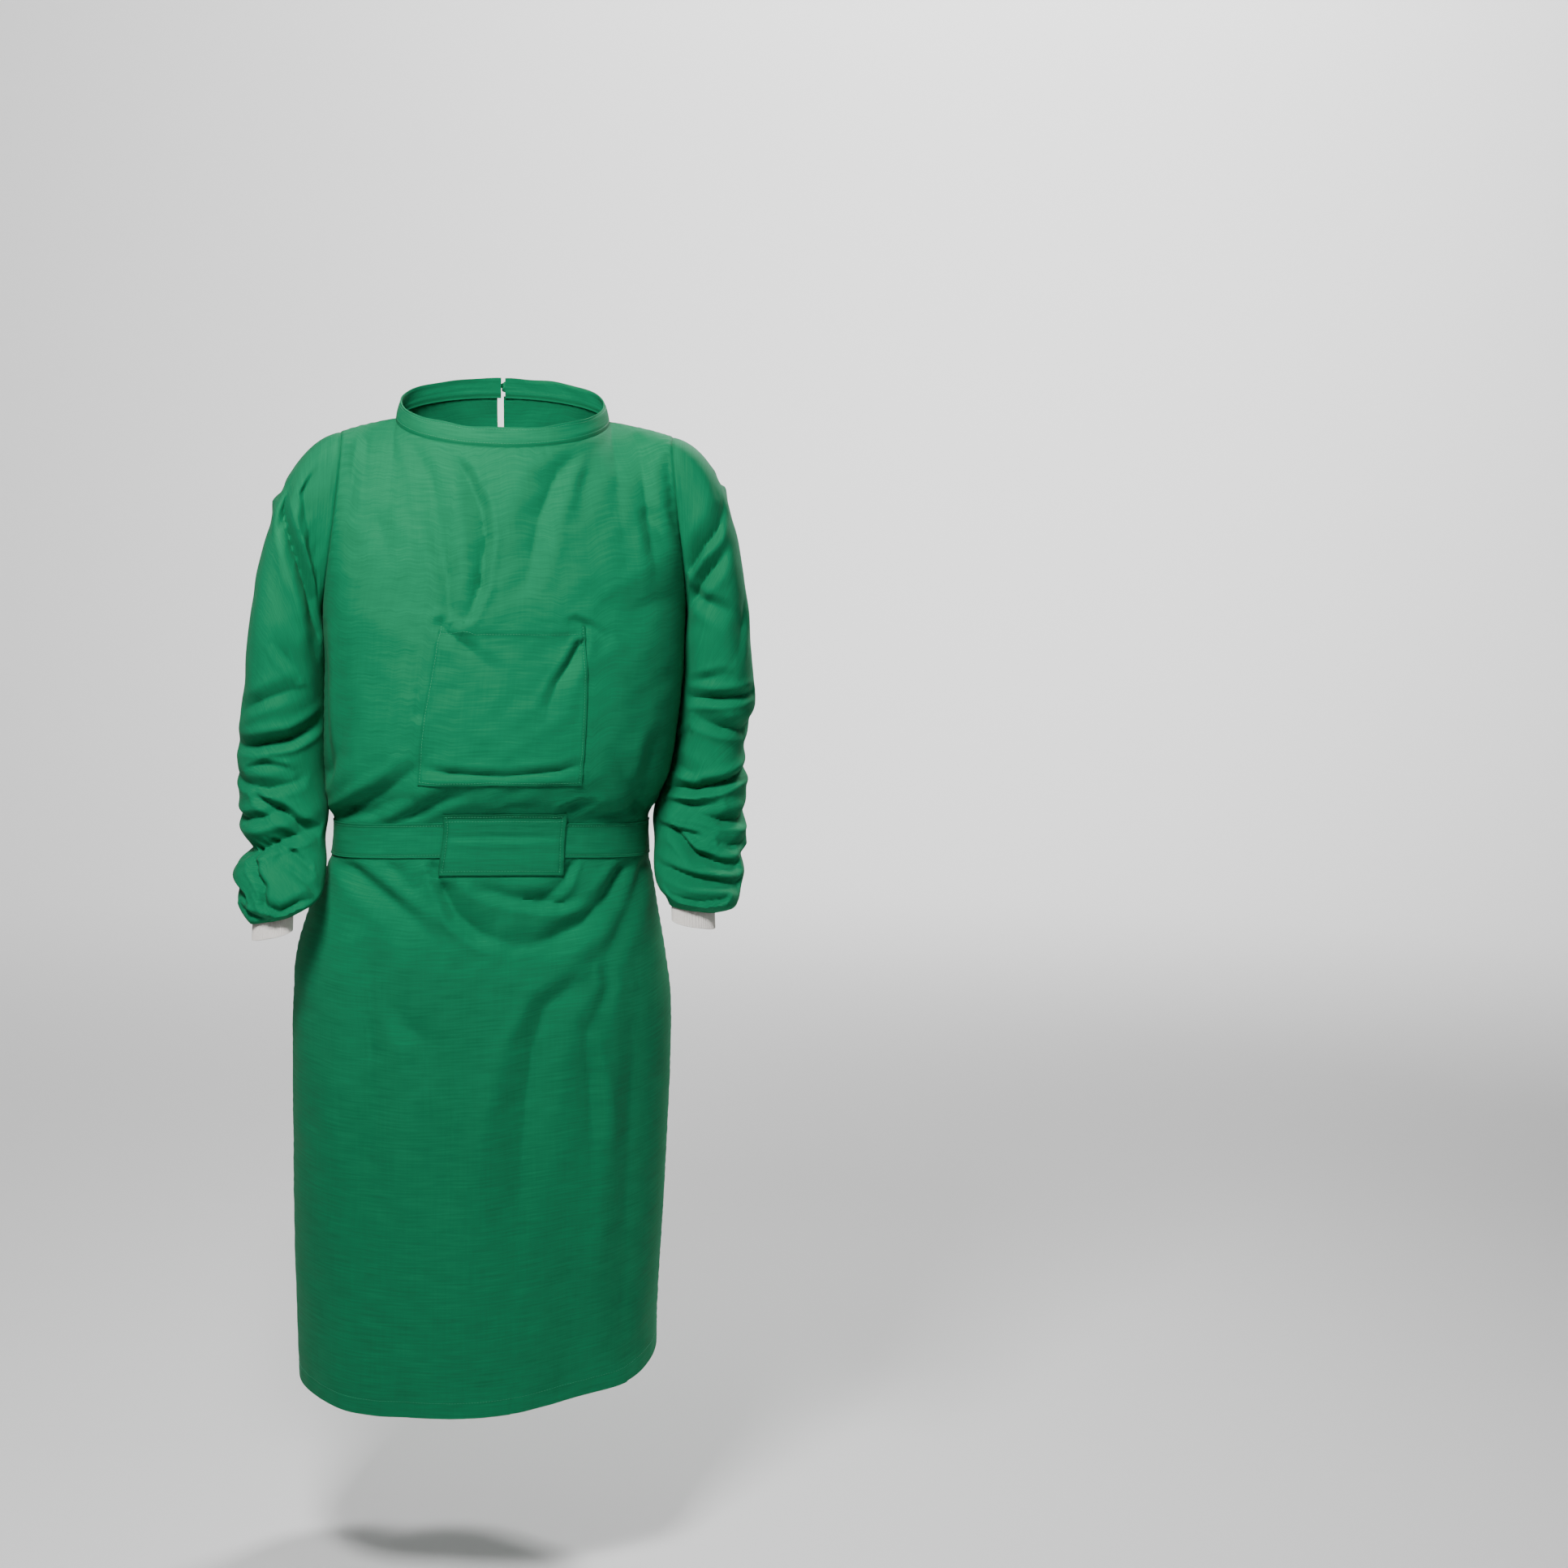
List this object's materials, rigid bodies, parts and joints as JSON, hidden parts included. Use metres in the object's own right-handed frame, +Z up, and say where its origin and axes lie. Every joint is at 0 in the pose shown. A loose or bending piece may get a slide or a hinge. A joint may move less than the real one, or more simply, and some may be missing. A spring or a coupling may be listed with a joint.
{
  "type": "surgical gown",
  "caption": "Long-sleeved back-opening gown in green cotton, worn shape kept hollow, with chest pocket, belt, neck and back ties and knit cuffs.",
  "frame": {"origin": "on the wearer's shoulders, in the middle of the neck opening, where the gown is held up", "axes": "+Z up, the front of the gown faces -Y, and the wearer's left arm is on +X"},
  "size_m": [0.6251, 0.3302, 1.2736],
  "materials": {
    "cotton": "matte green cotton drill with fine slubs along the weft",
    "cuff_knit": "matte off-white rib knit"
  },
  "bodies": {
    "root": {"front": "cotton", "back_right": "cotton", "back_left": "cotton", "chest_pocket": "cotton", "belt_patch": "cotton", "belt": "cotton", "neckband": "cotton", "sleeve_right": "cotton", "sleeve_left": "cotton", "cuff_right": "cuff_knit", "cuff_left": "cuff_knit", "belt_knot": "cotton", "belt_loop": "cotton", "belt_tail_wide": "cotton", "belt_tail_behind": "cotton", "belt_tail_side": "cotton", "belt_tail_long": "cotton", "back_tie_knot": "cotton", "back_tie_left": "cotton", "back_tie_short": "cotton", "back_tie_long": "cotton", "neck_tie_knot": "cotton", "neck_tie_curved": "cotton", "neck_tie_straight": "cotton"}
  },
  "joints": []
}
